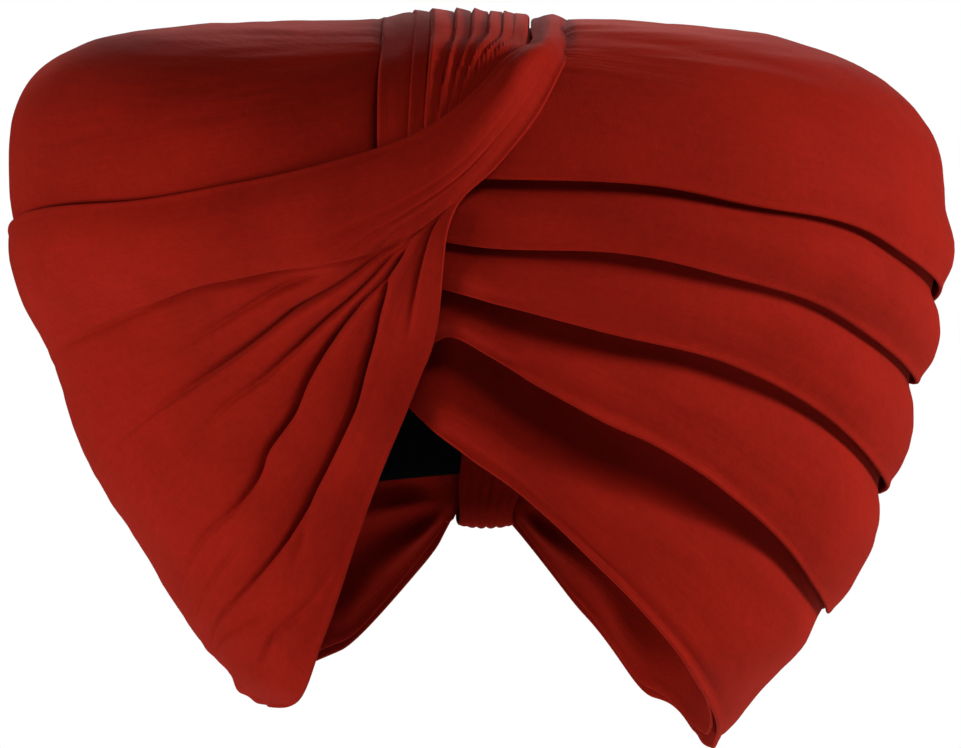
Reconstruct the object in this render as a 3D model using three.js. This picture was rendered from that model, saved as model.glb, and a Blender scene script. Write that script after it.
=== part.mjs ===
// A wound red pagri turban, as it sits on a head: an inner cap, an innermost wrap round the head, five wraps
// that overlap like shingles on the wearer's left, one broad wrap on the right, a gathered drape that sweeps
// from the crown across the brow and fans out over the right side, a pleated band over the crown, and a knot
// at the nape. Millimetres, +Z up, the front faces -Y and the wearer's left is +X.
// Azimuths are degrees round +Z: 0 at the brow, 90 at the wearer's left ear, 180 at the nape, -90 at the
// right ear. Heights in this file start at the level of the ear tips; the group is lowered at the end, so
// that the origin is where the crown of the head meets the cap.

import * as THREE from 'three';

// Cloth
const clothThickness = 2.4; // a folded ply of the wound cloth
const pleatThickness = 2.0; // the gathered cloth over the crown
const capThickness = 1.6;
const clothGap = 0.7; // between neighbouring pieces
const level = clothThickness + clothGap; // one more layer of cloth

// Outer form, under the outermost layers
const turbanHeight = 232; // ear tips to the top of the pleated band
const crownHeight = 226.5; // the form's own top
const shoulderHeight = 168; // where the walls turn in to the crown
const shoulderLift = 8; // how much higher the right shoulder sits than the mean, and the left one lower
const halfWidth = 146;
const frontDepth = 136;
const backDepth = 134;
const crownPower = 3.5; // a flat crown with round shoulders
const planPower = 2.25; // a slightly square oval from above

// Head
const headHalfWidth = 77.5;
const headHalfLength = 97.5;
const headSeatHeight = 165; // crown of the head above the ear tips
const headShoulderHeight = 90;
const headPower = 2.3;

// Wraps
const raisedShare = 0.45; // how much of a wrap's visible width lies on the wrap below it
const tuckShare = 0.35; // how far a wrap reaches under the next one, as a share of that one's width
const wrapPlaces = [0, raisedShare / 2, raisedShare, 0.72, 1, 2]; // across it; 2 is its hidden upper edge
const topWrapRaise = 12; // height over which the top wrap lies on the one below
const topWrapRamp = 28; // height above its edge at which the top wrap meets the form
const crownSeam = -12; // sideways, where the two top wraps meet on the crown, under the pleats
const crownSeamSpread = 0.8; // how far the seam runs to the front and the back, as a share of the wall there
const underWrapInset = 3; // how far the innermost wrap's lower edge stays above the rim
const underWrapLap = 6; // how far its upper edge reaches over the cap's lower edge
const underWrapEnds = [-10, 349]; // azimuths of its two ends, at the brow
const underWrapClearance = 2; // between it and the outer wraps, measured level

// Nape knot
const knotCentre = 1.2; // sideways from the middle of the nape
const knotBottomHalfWidth = 9.5;
const knotInnerHalfWidth = 15;
const knotOuterHalfWidth = 17;
const knotInnerTop = 84;
const knotOuterTop = 90;
const knotBottom = 56.3; // middle of its cloth where it turns under the rim
const knotTurnHeight = 5; // from knotBottom up to where its two sides run straight
const knotTurnLift = 0.8; // of its corners above knotBottom

// Sections of the outer form, lowest first. height is a share of turbanHeight, left and right of halfWidth,
// front of frontDepth and back of backDepth.
const formSections = [
  { height: -0.086, left: 0.398, right: 0.34, front: 0.62, back: 0.6 },
  { height: 0, left: 0.495, right: 0.411, front: 0.676, back: 0.672 },
  { height: 0.086, left: 0.598, right: 0.514, front: 0.72, back: 0.724 },
  { height: 0.172, left: 0.728, right: 0.623, front: 0.765, back: 0.769 },
  { height: 0.259, left: 0.8, right: 0.709, front: 0.776, back: 0.787 },
  { height: 0.345, left: 0.858, right: 0.795, front: 0.787, back: 0.828 },
  { height: 0.431, left: 0.896, right: 0.866, front: 0.805, back: 0.873 },
  { height: 0.56, left: 0.947, right: 0.93, front: 0.86, back: 0.948 },
  { height: 0.724, left: 0.988, right: 1, front: 1, back: 1 },
  { height: 0.78, left: 0.988, right: 1, front: 1, back: 1 },
];

// Lower edges of the wraps on the wearer's left, from the rim up, as shares of turbanHeight. Each column is
// the azimuth of the same name. A wrap starts under the drape, lapSteps after the first azimuth.
const leftStations = { lap: -15, front: 0, brow: 20, temple: 40, cheek: 60, ear: 80, behind: 110, rear: 140, heel: 160, nape: 175 };
const leftWraps = [
  { name: 'left_wrap_1', lapSteps: 0, lap: 0.513, front: 0.422, brow: 0.267, temple: 0.112, cheek: 0.034, ear: 0.001, behind: -0.009, rear: 0.006, heel: 0.112, nape: 0.26 },
  { name: 'left_wrap_2', lapSteps: 0, lap: 0.582, front: 0.565, brow: 0.47, temple: 0.375, cheek: 0.267, ear: 0.19, behind: 0.147, rear: 0.164, heel: 0.224, nape: 0.3 },
  { name: 'left_wrap_3', lapSteps: 0, lap: 0.659, front: 0.636, brow: 0.599, temple: 0.53, cheek: 0.444, ear: 0.362, behind: 0.284, rear: 0.276, heel: 0.31, nape: 0.345 },
  { name: 'left_wrap_4', lapSteps: 1, lap: 0.724, front: 0.711, brow: 0.694, temple: 0.642, cheek: 0.56, ear: 0.474, behind: 0.401, rear: 0.379, heel: 0.392, nape: 0.4 },
  { name: 'left_wrap_5', lapSteps: 1, lap: 0.795, front: 0.789, brow: 0.776, temple: 0.733, cheek: 0.655, ear: 0.59, behind: 0.534, rear: 0.491, heel: 0.47, nape: 0.457 },
];

// Lower edge of the broad wrap on the wearer's right, under the drape's upper edge.
const rightWrapEnd = -11.2; // azimuth where it stops, under the pleats
const rightWrapEdge = [
  { azimuth: -175, height: 0.435 },
  { azimuth: -135, height: 0.548 },
  { azimuth: -90, height: 0.648 },
  { azimuth: -47, height: 0.703 },
  { azimuth: -22, height: 0.75 },
  { azimuth: -15, height: 0.77 },
];

// Lower edge of the inner cap.
const capEdge = [
  { azimuth: 0, height: 0.56 },
  { azimuth: 35, height: 0.47 },
  { azimuth: 90, height: 0.24 },
  { azimuth: 130, height: 0.3 },
  { azimuth: 180, height: 0.332 },
];

// The gathered strap, from the nape up over the crown and down to where the fan opens: its two edges, and
// how far its inner face stands off the form. x is a share of halfWidth; a row with y, a share of
// frontDepth, is on the crown, one with height on the front or the back wall.
const strapSections = [
  { name: 'nape', side: 'back', near: { x: 0.055, height: 0.3 }, far: { x: 0.11, height: 0.3 }, stand: 2.25, pleats: 1 },
  { name: 'back', side: 'back', near: { x: 0.085, height: 0.5 }, far: { x: 0.16, height: 0.5 }, stand: 2.25, pleats: 1 },
  { name: 'rear', side: 'back', near: { x: 0.11, height: 0.8 }, far: { x: 0.19, height: 0.8 }, stand: 1.35, pleats: 1 },
  { name: 'crown', side: 'top', near: { x: 0.115, y: 0 }, far: { x: 0.2, y: 0 }, stand: 0.35, pleats: 1 },
  { name: 'crest', side: 'top', near: { x: 0.107, y: -0.58 }, far: { x: 0.18, y: -0.6 }, stand: 0.25, pleats: 1 },
  { name: 'rise', side: 'front', near: { x: 0.1, height: 0.935 }, far: { x: 0.158, height: 0.922 }, stand: 1.8, pleats: 1 },
  { name: 'neck', side: 'front', near: { x: 0.04, height: 0.897 }, far: { x: 0.096, height: 0.862 }, stand: 2.4, pleats: 1 },
  { name: 'throat', side: 'front', near: { x: -0.02, height: 0.866 }, far: { x: 0.02, height: 0.804 }, stand: 2.2, pleats: 1 },
  { name: 'gather', side: 'front', near: { x: -0.103, height: 0.836 }, far: { x: -0.048, height: 0.754 }, stand: 2.2, pleats: 1 },
];
const strapGathered = 0.78; // share of the strap's width that its first fold fills

// The fan: each row is a fold that leaves the gather. across runs from the drape's upper edge to its right
// edge. The angles, in degrees below level, are those of the fold seen from the front at three distances from
// the gather; side, rear and end are its places round the wearer's right, as azimuth and height share.
const gatherPoint = { x: -0.082, height: 0.741 };
const fanReach = { near: 0.19, mid: 0.38, far: 0.63 }; // distances from the gather, shares of halfWidth
const fanFolds = [
  { across: 0, nearAngle: -35, midAngle: -9.5, farAngle: -1.5, side: [-90, 0.685], rear: [-135, 0.586], end: [-175, 0.474] },
  { across: 0.3, nearAngle: 24, midAngle: 18, farAngle: 17.5, side: [-90, 0.53], rear: [-135, 0.422], end: [-175, 0.345] },
  { across: 0.42, nearAngle: 32, midAngle: 30, farAngle: 29.5, side: [-90, 0.418], rear: [-135, 0.336], end: [-175, 0.284] },
  { across: 0.52, nearAngle: 41, midAngle: 38, farAngle: 36, side: [-85, 0.345], rear: [-130, 0.25], end: [-172, 0.225] },
  { across: 0.62, nearAngle: 48, midAngle: 46.5, farAngle: 43, side: [-76, 0.3], rear: [-112, 0.19], end: [-149, 0.08] },
  { across: 0.72, nearAngle: 56, midAngle: 55, farAngle: 55, side: [-60, 0.224], rear: [-88, 0.14], end: [-118, 0.06] },
  { across: 0.85, nearAngle: 62, midAngle: 65.5, farAngle: 65, side: [-44, 0.224], rear: [-60, 0.14], end: [-78, 0.085] },
  { across: 1, nearAngle: 88, midAngle: 80.5, farAngle: 76, side: [-26, 0.2], rear: [-35, 0.095], end: [-50, 0.074] },
];
const foldHeight = 3.2; // how far a fan fold stands out between two creases
const strapFoldHeight = 2.2;
const drapeStep = 15; // length of one facet along a thread

// The pleated band from the brow over the crown to the nape: x of its two edges as shares of halfWidth, and
// the layers of cloth under it; fold is the share of pleatHeight that the pleats stand out there.
const pleatSections = [
  { side: 'front', left: { x: -0.2, height: 0.785 }, right: { x: 0.05, height: 0.853 }, stand: 2.2, fold: 0 },
  { side: 'front', left: { x: -0.205, height: 0.88 }, right: { x: 0.08, height: 0.915 }, stand: 1.8, fold: 0.5 },
  { side: 'top', left: { x: -0.205, y: -0.72 }, right: { x: 0.088, y: -0.72 }, stand: 1.2, fold: 1 },
  { side: 'top', left: { x: -0.21, y: 0 }, right: { x: 0.098, y: 0 }, stand: 1, fold: 0.8 },
  { side: 'back', left: { x: -0.226, height: 0.84 }, right: { x: 0.1, height: 0.84 }, stand: 1.2, fold: 1 },
  { side: 'back', left: { x: -0.18, height: 0.6 }, right: { x: 0.11, height: 0.6 }, stand: 2, fold: 1 },
  { side: 'back', left: { x: -0.137, height: 0.43 }, right: { x: 0.09, height: 0.43 }, stand: 2.2, fold: 0.6 },
  { side: 'back', left: { x: -0.1, height: 0.29 }, right: { x: 0.07, height: 0.29 }, stand: 2.2, fold: 0 },
];
const pleatCreases = [0, 0.19, 0.4, 0.55, 0.67, 0.8, 1]; // across the band, from the wearer's right
const flatPleat = 0.8; // from here on the pleats lie flat, under the strap
const pleatHeight = 2; // how far a pleat stands out between two creases

const degrees = Math.PI / 180;
const up = new THREE.Vector3(0, 0, 1);

function smoothstep(low, high, value) {
  return THREE.MathUtils.smoothstep(value, low, high);
}

// A curve through points that never overshoots them, as a function of x.
function curveThrough(xs, ys) {
  const slopes = xs.slice(1).map((x, i) => (ys[i + 1] - ys[i]) / (x - xs[i]));
  const tangents = xs.map((_, i) => {
    if (i === 0) return slopes[0];
    if (i === xs.length - 1) return slopes[i - 1];
    const [before, after] = [slopes[i - 1], slopes[i]];
    return before * after <= 0 ? 0 : (2 * before * after) / (before + after);
  });
  return (x) => {
    let i = 0;
    while (i < xs.length - 2 && x > xs[i + 1]) i += 1;
    const width = xs[i + 1] - xs[i];
    const t = THREE.MathUtils.clamp((x - xs[i]) / width, 0, 1);
    const [t2, t3] = [t * t, t * t * t];
    return (
      ys[i] * (2 * t3 - 3 * t2 + 1) +
      tangents[i] * width * (t3 - 2 * t2 + t) +
      ys[i + 1] * (3 * t2 - 2 * t3) +
      tangents[i + 1] * width * (t3 - t2)
    );
  };
}

function column(rows, name, scale = 1) {
  return rows.map((row) => row[name] * scale);
}

// A closed form given by sections: level() is below 1 inside it.
function makeForm({ sections, sectionScale, sizes, top, shoulder, power, lift }) {
  const heights = column(sections, 'height', sectionScale);
  const half = Object.fromEntries(
    Object.entries(sizes).map(([name, size]) => [name, curveThrough(heights, column(sections, name, size))]),
  );
  function inside(point) {
    const leaning = lift * (point.x / halfWidth) ** 3 * smoothstep(shoulder / 2, shoulder, point.z);
    const height = point.z + leaning;
    if (height >= top) return false;
    const turn = Math.max(0, (height - shoulder) / (top - shoulder));
    const scale = (1 - turn ** power) ** (1 / power);
    const wide = half[point.x > 0 ? 'left' : 'right'](Math.min(height, shoulder)) * scale;
    const deep = half[point.y < 0 ? 'front' : 'back'](Math.min(height, shoulder)) * scale;
    return Math.abs(point.x / wide) ** planPower + Math.abs(point.y / deep) ** planPower < 1;
  }
  // Where a ray from inside the form leaves it.
  function leave(origin, direction) {
    let [near, far] = [0, 2 * (halfWidth + turbanHeight)];
    const point = new THREE.Vector3();
    for (let step = 0; step < 44; step += 1) {
      const middle = (near + far) / 2;
      if (inside(point.copy(origin).addScaledVector(direction, middle))) near = middle;
      else far = middle;
    }
    return point.copy(origin).addScaledVector(direction, near);
  }
  const middle = new THREE.Vector3(0, 0, shoulder * 0.65);
  const snap = (point) => leave(middle, point.clone().sub(middle).normalize());
  // The outward normal, from two short steps along the surface.
  function normal(point) {
    const out = point.clone().sub(middle).normalize();
    const first = new THREE.Vector3().crossVectors(Math.abs(out.z) > 0.9 ? new THREE.Vector3(1, 0, 0) : up, out).normalize();
    const second = new THREE.Vector3().crossVectors(out, first);
    const [a, b] = [first, second].map((way) =>
      snap(point.clone().addScaledVector(way, 2)).sub(snap(point.clone().addScaledVector(way, -2))),
    );
    return a.cross(b).normalize();
  }
  return {
    snap,
    normal,
    wall: (azimuth, height) =>
      leave(
        new THREE.Vector3(0, 0, height),
        new THREE.Vector3(Math.sin(azimuth * degrees), -Math.cos(azimuth * degrees), 0),
      ),
    front: (x, height) => leave(new THREE.Vector3(x, 0, height), new THREE.Vector3(0, -1, 0)),
    back: (x, height) => leave(new THREE.Vector3(x, 0, height), new THREE.Vector3(0, 1, 0)),
    crown: (x, y) => leave(new THREE.Vector3(x, y, shoulder), up),
  };
}

const outer = makeForm({
  sections: formSections,
  sectionScale: turbanHeight,
  sizes: { left: halfWidth, right: halfWidth, front: frontDepth, back: backDepth },
  top: crownHeight,
  shoulder: shoulderHeight,
  power: crownPower,
  lift: shoulderLift,
});

const head = makeForm({
  sections: [
    { height: 0, left: 1, right: 1, front: 1, back: 1 },
    { height: 1, left: 1, right: 1, front: 1, back: 1 },
  ],
  sectionScale: headSeatHeight,
  sizes: { left: headHalfWidth, right: headHalfWidth, front: headHalfLength, back: headHalfLength },
  top: headSeatHeight,
  shoulder: headShoulderHeight,
  power: headPower,
  lift: 0,
});

// A closed wall of cloth over a grid: place(u, v) gives its inner and its outer point.
function clothWall(us, vs, place) {
  const grid = us.map((u) => vs.map((v) => place(u, v)));
  const points = [];
  const index = {};
  ['outer', 'inner'].forEach((face) => {
    index[face] = grid.map((row) => row.map((cell) => points.push(cell[face]) - 1));
  });
  const triangles = [];
  const quad = (a, b, c, d) => triangles.push(a, b, c, a, c, d);
  const { outer: o, inner: n } = index;
  const [lastU, lastV] = [us.length - 1, vs.length - 1];
  for (let i = 0; i < lastU; i += 1) {
    for (let j = 0; j < lastV; j += 1) {
      quad(o[i][j], o[i + 1][j], o[i + 1][j + 1], o[i][j + 1]);
      quad(n[i][j], n[i][j + 1], n[i + 1][j + 1], n[i + 1][j]);
    }
    quad(o[i + 1][0], o[i][0], n[i][0], n[i + 1][0]);
    quad(o[i][lastV], o[i + 1][lastV], n[i + 1][lastV], n[i][lastV]);
  }
  for (let j = 0; j < lastV; j += 1) {
    quad(o[0][j], o[0][j + 1], n[0][j + 1], n[0][j]);
    quad(o[lastU][j + 1], o[lastU][j], n[lastU][j], n[lastU][j + 1]);
  }
  return facingOut(points, triangles);
}

function facingOut(points, triangles) {
  let volume = 0;
  for (let i = 0; i < triangles.length; i += 3) {
    const [a, b, c] = [0, 1, 2].map((k) => points[triangles[i + k]]);
    volume += a.dot(new THREE.Vector3().crossVectors(b, c));
  }
  const faces = volume > 0 ? triangles : triangles.slice().reverse();
  const geometry = new THREE.BufferGeometry().setFromPoints(points);
  geometry.setIndex(faces);
  geometry.computeVertexNormals();
  return geometry;
}

// The inner and outer point of cloth that stands `stand` off a form at a point.
function clothAt(form, point, stand, thickness = clothThickness) {
  const way = form.normal(point);
  return {
    inner: point.clone().addScaledVector(way, stand),
    outer: point.clone().addScaledVector(way, stand + thickness),
  };
}

function range(from, to, count) {
  return Array.from({ length: count + 1 }, (_, i) => from + ((to - from) * i) / count);
}

// Maps a square grid to a disc, so that a dome has no pole.
function disc(u, v) {
  const x = u * Math.sqrt(1 - (v * v) / 2);
  const y = v * Math.sqrt(1 - (u * u) / 2);
  return { radius: Math.min(1, Math.hypot(x, y)), azimuth: Math.atan2(x, -y) / degrees };
}

const stationAzimuths = Object.values(leftStations);
const leftSteps = 25;
const leftEdges = leftWraps.map((row) =>
  curveThrough(stationAzimuths, Object.keys(leftStations).map((name) => row[name] * turbanHeight)),
);
const rimFolds = fanFolds.filter((fold) => fold.across > 0.5);
const rightRim = curveThrough(
  [-175, ...rimFolds.map((fold) => fold.end[0])],
  [fanFolds[2].end[1], ...rimFolds.map((fold) => fold.end[1])].map((share) => share * turbanHeight),
);
const napeAzimuth = leftStations.nape;
const leftAzimuths = range(leftStations.lap, napeAzimuth, leftSteps);
const rightWrapAzimuths = [...range(-napeAzimuth, leftStations.lap, 21), rightWrapEnd];

// A wrap between its lower edge and the next one: it lies on the wrap below it, then meets the form and
// reaches under the wrap above.
function leftWrap(k) {
  const [edge, above] = [leftEdges[k], leftEdges[k + 1]];
  const widthAbove = (azimuth) => (k + 2 < leftEdges.length ? leftEdges[k + 2](azimuth) - above(azimuth) : topWrapRamp);
  const onLower = k === 0 ? 0 : level;
  return clothWall(leftAzimuths.slice(leftWraps[k].lapSteps), wrapPlaces, (azimuth, across) => {
    const width = above(azimuth) - edge(azimuth);
    const height =
      across <= 1 ? edge(azimuth) + across * width : above(azimuth) + tuckShare * Math.min(widthAbove(azimuth), topWrapRamp);
    const stand = onLower * (1 - smoothstep(raisedShare, 1, across));
    return clothAt(outer, outer.wall(azimuth, height), stand);
  });
}

// A top wrap: from its lower edge up the wall and over the crown to the seam in the middle.
function topWrap(azimuths, edge, raise, side) {
  const onWall = [0, topWrapRaise, (topWrapRaise + topWrapRamp) / 2, topWrapRamp];
  const overShoulder = range(0, 1, 8).slice(1);
  const places = [...onWall.map((rise) => ({ rise })), ...overShoulder.map((share) => ({ share }))];
  return clothWall(azimuths, places, (azimuth, { rise, share }) => {
    const low = outer.wall(azimuth, edge(azimuth) + (rise ?? topWrapRamp));
    if (share === undefined) return clothAt(outer, low, raise * (1 - smoothstep(topWrapRaise, topWrapRamp, rise)));
    const seam = outer.crown(crownSeam + side * clothGap, low.y * crownSeamSpread);
    return clothAt(outer, outer.snap(low.lerp(seam, share)), 0);
  });
}

function curveOf(edge) {
  return curveThrough(column(edge, 'azimuth'), column(edge, 'height', turbanHeight));
}

function innerCap() {
  const lowerEdge = curveOf(capEdge);
  const cells = range(-1, 1, 12);
  return clothWall(cells, cells, (u, v) => {
    const { radius, azimuth } = disc(u, v);
    const low = head.wall(azimuth, lowerEdge(Math.abs(azimuth)));
    const pole = new THREE.Vector3(0, 0, headSeatHeight);
    const middle = head.snap(pole.lerp(low, radius));
    return clothAt(head, radius < 1 ? middle : low, 0, capThickness);
  });
}

function onForm({ x, y, height }, side) {
  if (side === 'top') return outer.crown(x * halfWidth, y * frontDepth);
  return outer[side](x * halfWidth, height * turbanHeight);
}

// A seen-from-the-front direction out of the gather, laid on the form.
function fanPoint(angle, reach) {
  const x = gatherPoint.x * halfWidth - Math.cos(angle * degrees) * reach * halfWidth;
  const height = gatherPoint.height * turbanHeight - Math.sin(angle * degrees) * reach * halfWidth;
  return outer.front(x, height);
}

const acrossFan = column(fanFolds, 'across');
const fanAngle = Object.fromEntries(
  ['near', 'mid', 'far'].map((name) => [name, curveThrough(acrossFan, column(fanFolds, name + 'Angle'))]),
);
const fanPlace = Object.fromEntries(
  ['side', 'rear', 'end'].map((name) => [
    name,
    [0, 1].map((k) => curveThrough(acrossFan, fanFolds.map((fold) => fold[name][k]))),
  ]),
);
const gathered = curveThrough([0, fanFolds[1].across, 1], [0, strapGathered, 1]);

// The line that a thread of the drape follows, from the nape over the crown and out along the fan, with how
// far it stands off the form and how far its folds stand out at each place.
function drapeThread(across) {
  const strap = strapSections.map((section) => ({
    point: onForm(section.near, section.side).lerp(onForm(section.far, section.side), gathered(across)),
    stand: section.stand * level + section.pleats * (pleatThickness + clothGap),
    fold: strapFoldHeight * 0.4,
  }));
  const overRightWrap = 1.15 * level * (1 - smoothstep(0.16, 0.36, across));
  const nearGather = 1 - smoothstep(0.2, 0.42, across);
  const fan = [
    { point: fanPoint(fanAngle.near(across), fanReach.near), stand: 2 * level + nearGather * (pleatThickness + 1.5 * clothGap), fold: foldHeight },
    { point: fanPoint(fanAngle.mid(across), fanReach.mid), stand: (1.2 + smoothstep(0.5, 0.85, across)) * level, fold: foldHeight },
    { point: fanPoint(fanAngle.far(across), fanReach.far), stand: Math.max(overRightWrap, 0.4 * level), fold: foldHeight * 0.9 },
    ...['side', 'rear', 'end'].map((name) => ({
      point: outer.wall(fanPlace[name][0](across), fanPlace[name][1](across) * turbanHeight),
      stand: overRightWrap,
      fold: foldHeight * { side: 0.5, rear: 0.25, end: 0 }[name],
    })),
  ];
  return [...strap, ...fan];
}

// A place between the stations of a thread; 1.5 is halfway from the second to the third.
function alongThread(stations, place) {
  const curve = new THREE.CatmullRomCurve3(stations.map((station) => station.point), false, 'centripetal');
  const places = [...stations.keys()];
  return {
    point: outer.snap(curve.getPoint(place / (stations.length - 1))),
    stand: curveThrough(places, column(stations, 'stand'))(place),
    fold: curveThrough(places, column(stations, 'fold'))(place),
  };
}

// Places along a thread, no further apart than step.
function stepsAlong(stations, step) {
  const places = [0];
  for (let i = 1; i < stations.length; i += 1) {
    const count = Math.ceil(stations[i].point.distanceTo(stations[i - 1].point) / step);
    places.push(...range(i - 1, i, count).slice(1));
  }
  return places;
}

// The drape's free edge, from the gather down to its tip, as a height for each azimuth.
const fanTip = { azimuth: fanFolds.at(-1).end[0] };
const fanSide = range(strapSections.length, strapSections.length + 5, 20)
  .map((place) => alongThread(drapeThread(1), place).point)
  .map((point) => ({ azimuth: Math.atan2(point.x, -point.y) / degrees, height: point.z }))
  .reverse();
const fanSideRim = curveThrough(column(fanSide, 'azimuth'), column(fanSide, 'height'));
const fanSideTop = fanSide.at(-1).azimuth;

// The height of the turban's lower edge at an azimuth from -175 to 175.
function rimAt(azimuth) {
  if (azimuth < fanTip.azimuth) return rightRim(azimuth);
  if (azimuth < leftStations.lap) return fanSideRim(azimuth);
  const left = leftEdges[0](azimuth);
  return azimuth < fanSideTop ? Math.min(left, fanSideRim(azimuth)) : left;
}

// The innermost wrap: it lines the outer wraps at the rim and funnels in to the cap's lower edge.
function underWrap() {
  const capLowerEdge = curveOf(capEdge);
  const [start, end] = underWrapEnds;
  const backRight = 360 - napeAzimuth;
  const behindDrape = 360 + fanTip.azimuth;
  const azimuths = [
    start,
    ...leftAzimuths.filter((azimuth) => azimuth > start),
    ...range(backRight, behindDrape, 16),
    ...range(behindDrape, end, 10).slice(1),
  ];
  return clothWall(azimuths, range(0, 1, 3), (azimuth, across) => {
    const turned = azimuth > 180 ? azimuth - 360 : azimuth;
    const low = rimAt(turned) + underWrapInset;
    const high = Math.max(capLowerEdge(Math.abs(turned)), low) + underWrapLap;
    const height = low + across * (high - low);
    const axis = new THREE.Vector3(0, 0, height);
    const besideCap = head.wall(azimuth, height).distanceTo(axis) + capThickness + level + clothGap / 2;
    const underOuter = outer.wall(azimuth, height).distanceTo(axis) - underWrapClearance;
    const reach = Math.min(underOuter, underOuter + smoothstep(0, 1, across) * (besideCap - underOuter));
    const out = outer.wall(azimuth, height).sub(axis).normalize();
    return {
      outer: axis.clone().addScaledVector(out, reach),
      inner: axis.clone().addScaledVector(out, reach - clothThickness),
    };
  });
}

// How far cloth stands out between the creases on either side of it, from 0 to 1.
function standOut(creases, across) {
  const k = Math.min(creases.filter((crease) => crease <= across).length, creases.length - 1);
  const share = (across - creases[k - 1]) / (creases[k] - creases[k - 1]);
  return 4 * share * (1 - share);
}

function midpoints(values) {
  return values.flatMap((value, i) => (i ? [(values[i - 1] + value) / 2, value] : [value]));
}

function drape() {
  const threads = new Map(midpoints(acrossFan).map((across) => [across, drapeThread(across)]));
  const places = stepsAlong(threads.get(fanFolds[3].across), drapeStep);
  return clothWall(places, [...threads.keys()], (place, across) => {
    const { point, stand, fold } = alongThread(threads.get(across), place);
    return clothAt(outer, point, stand + fold * standOut(acrossFan, across));
  });
}

function crownPleats() {
  const threads = new Map(
    midpoints(pleatCreases).map((across) => [
      across,
      pleatSections.map((section) => ({
        point: onForm(section.left, section.side).lerp(onForm(section.right, section.side), across),
        stand: section.stand * level,
        fold: across > flatPleat ? 0 : section.fold * pleatHeight,
      })),
    ]),
  );
  const places = stepsAlong(threads.get(pleatCreases[3]), drapeStep);
  return clothWall(places, [...threads.keys()], (place, across) => {
    const { point, stand, fold } = alongThread(threads.get(across), place);
    return clothAt(outer, point, stand + fold * standOut(pleatCreases, across), pleatThickness);
  });
}

// The knot: a tab of cloth that comes down over the ends of the crown pleats, turns under the rim and goes
// up inside the nape.
function napeKnot() {
  const insideStand = clothGap + clothThickness / 2;
  const outsideStand = 4 * level + pleatThickness + clothThickness / 2;
  const inside = (q, height, half) => {
    const x = knotCentre + q * half;
    return head.back(x, height).add(new THREE.Vector3(0, -insideStand, 0));
  };
  const outside = (q, height, half) => {
    const x = knotCentre + q * half;
    return outer.back(x, height).add(new THREE.Vector3(0, outsideStand, 0));
  };
  return clothWall(range(0, 1, 13), range(-1, 1, 5), (share, q) => {
    const turn = knotBottom + knotTurnHeight;
    const [low, high] = [inside, outside].map((side) => side(q, turn, knotBottomHalfWidth));
    const bottom = low.clone().lerp(high, 0.5).setZ(knotBottom);
    const path = new THREE.CatmullRomCurve3([
      inside(q, knotInnerTop, knotInnerHalfWidth),
      inside(q, (knotInnerTop + knotBottom) / 2, (knotInnerHalfWidth + knotBottomHalfWidth) / 2),
      low,
      low.clone().lerp(bottom, 0.25).setZ(knotBottom + knotTurnLift),
      bottom,
      high.clone().lerp(bottom, 0.25).setZ(knotBottom + knotTurnLift),
      high,
      outside(q, (knotOuterTop + knotBottom) / 2, (knotOuterHalfWidth + knotBottomHalfWidth) / 2),
      outside(q, knotOuterTop, knotOuterHalfWidth),
    ]);
    const point = path.getPoint(share);
    const way = path.getTangent(share);
    const out = new THREE.Vector3(0, -way.z, way.y).normalize();
    return {
      inner: point.clone().addScaledVector(out, clothThickness / 2),
      outer: point.clone().addScaledVector(out, -clothThickness / 2),
    };
  });
}

const redCotton = { color: 0x8c1009, roughness: 0.85, metalness: 0 };
const blackLining = { color: 0x050505, roughness: 0.95, metalness: 0 };

const turban = new THREE.Group();
function add(name, geometry, material = redCotton) {
  const mesh = new THREE.Mesh(geometry, new THREE.MeshStandardMaterial({ ...material, side: THREE.DoubleSide }));
  mesh.name = name;
  turban.add(mesh);
}

add('inner_cap', innerCap(), blackLining);
add('under_wrap', underWrap());
leftWraps.slice(0, -1).forEach((row, k) => add(row.name, leftWrap(k)));
add(leftWraps.at(-1).name, topWrap(leftAzimuths.slice(leftWraps.at(-1).lapSteps), leftEdges.at(-1), level, 1));
add('right_wrap', topWrap(rightWrapAzimuths, curveOf(rightWrapEdge), 0, -1));
add('crown_pleats', crownPleats());
add('front_drape', drape());
add('nape_knot', napeKnot());

turban.position.z = -headSeatHeight;

export default turban;
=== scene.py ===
"""The pagri turban as it looks: every wrap, pleat and fold of red cotton over the plain solids of the frame.
Sizes here are millimetres above the ear tips, as in the part; to_frame() turns them into the row frame."""

import math

import bpy
import numpy as np
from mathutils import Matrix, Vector


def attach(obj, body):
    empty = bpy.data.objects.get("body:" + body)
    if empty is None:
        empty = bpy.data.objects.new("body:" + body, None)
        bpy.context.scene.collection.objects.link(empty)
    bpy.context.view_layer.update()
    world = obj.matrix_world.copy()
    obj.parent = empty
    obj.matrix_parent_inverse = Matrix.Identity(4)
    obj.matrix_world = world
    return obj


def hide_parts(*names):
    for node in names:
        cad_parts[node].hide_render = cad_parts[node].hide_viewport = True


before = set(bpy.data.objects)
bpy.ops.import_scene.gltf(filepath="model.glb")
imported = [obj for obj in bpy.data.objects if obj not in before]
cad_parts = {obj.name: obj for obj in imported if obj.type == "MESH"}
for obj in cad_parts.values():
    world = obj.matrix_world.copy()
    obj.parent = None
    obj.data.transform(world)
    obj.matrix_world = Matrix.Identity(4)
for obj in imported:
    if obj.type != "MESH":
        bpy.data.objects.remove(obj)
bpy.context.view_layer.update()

# Cloth
cloth_thickness = 2.4
edge_thickness = 1.3  # the cloth is pressed thinner where it is folded
pressed_width = 9
pleat_thickness = 2.0
cap_thickness = 1.6
cloth_gap = 0.7
level = cloth_thickness + cloth_gap

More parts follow.
